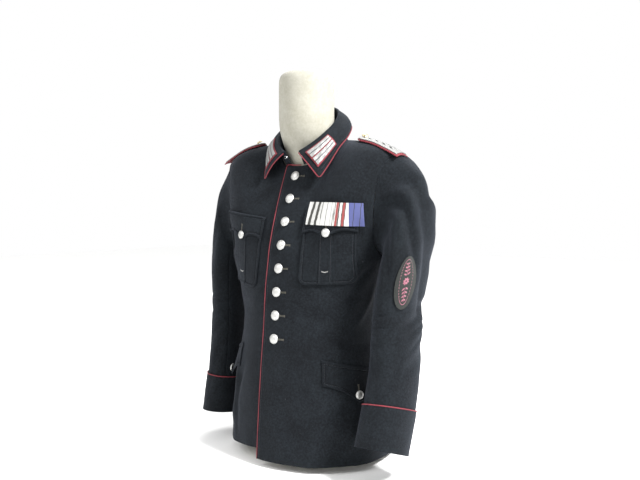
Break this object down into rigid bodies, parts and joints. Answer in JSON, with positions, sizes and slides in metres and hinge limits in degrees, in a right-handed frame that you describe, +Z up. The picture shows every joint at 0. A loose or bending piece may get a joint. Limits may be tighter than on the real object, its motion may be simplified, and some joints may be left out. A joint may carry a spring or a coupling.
{
  "type": "military officer tunic on limbless torso form",
  "caption": "Closed officer's tunic with turn-down collar, shoulder boards, flapped pockets and red piping, filled out on a limbless torso form that stands on its flat base.",
  "frame": {"origin": "centre of the flat base of the torso form, on the floor", "axes": "+Z up, -Y out of the tunic's front, +X towards the wearer's left"},
  "size_m": [0.6035, 0.3408, 0.864],
  "materials": {
    "wool_cloth": "fulled wool twill with a soft nap",
    "red_cloth": "muted red piping and facing cloth",
    "silver_braid": "woven silver-white braid with fine dark flecks",
    "silver_metal": "pebbled, lightly worn",
    "gilt_metal": "dull gilt",
    "hook_steel": "bent wire",
    "form_fabric": "creamy off-white, matt and slightly mottled",
    "badge_ground": "dark grey-green felt",
    "badge_thread": "pink embroidery thread",
    "ribbon_white": "ribbed silk, white with two black stripes",
    "ribbon_grey": "ribbed silk, white with fine grey lines",
    "ribbon_red": "ribbed silk, red with white and dark stripes",
    "ribbon_blue": "ribbed silk, blue-violet with two thin dark lines"
  },
  "bodies": {
    "root": {"back_left": "wool_cloth", "back_right": "wool_cloth", "board_braid_left": "silver_braid", "board_braid_right": "silver_braid", "board_button_left": "gilt_metal", "board_button_right": "gilt_metal", "board_underlay_left": "red_cloth", "board_underlay_right": "red_cloth", "breast_button_left": "silver_metal", "breast_button_right": "silver_metal", "breast_flap_left": "wool_cloth", "breast_flap_right": "wool_cloth", "breast_pocket_left": "wool_cloth", "breast_pocket_right": "wool_cloth", "collar": "wool_cloth", "collar_bar_left_1": "silver_braid", "collar_bar_left_2": "silver_braid", "collar_bar_right_1": "silver_braid", "collar_bar_right_2": "silver_braid", "collar_eye": "hook_steel", "collar_hook": "hook_steel", "collar_piping": "red_cloth", "collar_tab_left": "red_cloth", "collar_tab_right": "red_cloth", "cuff_left": "wool_cloth", "cuff_piping_left": "red_cloth", "cuff_piping_right": "red_cloth", "cuff_right": "wool_cloth", "form_torso": "form_fabric", "front_button_1": "silver_metal", "front_button_2": "silver_metal", "front_button_3": "silver_metal", "front_button_4": "silver_metal", "front_button_5": "silver_metal", "front_button_6": "silver_metal", "front_button_7": "silver_metal", "front_button_8": "silver_metal", "front_left": "wool_cloth", "front_piping": "red_cloth", "front_right": "wool_cloth", "hip_button_left": "silver_metal", "hip_button_right": "silver_metal", "hip_flap_left": "wool_cloth", "hip_flap_right": "wool_cloth", "ribbon_1": "ribbon_white", "ribbon_2": "ribbon_grey", "ribbon_3": "ribbon_red", "ribbon_4": "ribbon_blue", "sleeve_badge": "badge_ground", "sleeve_badge_motif": "badge_thread", "sleeve_under_left": "wool_cloth", "sleeve_under_right": "wool_cloth", "sleeve_upper_left": "wool_cloth", "sleeve_upper_right": "wool_cloth"}
  },
  "joints": []
}
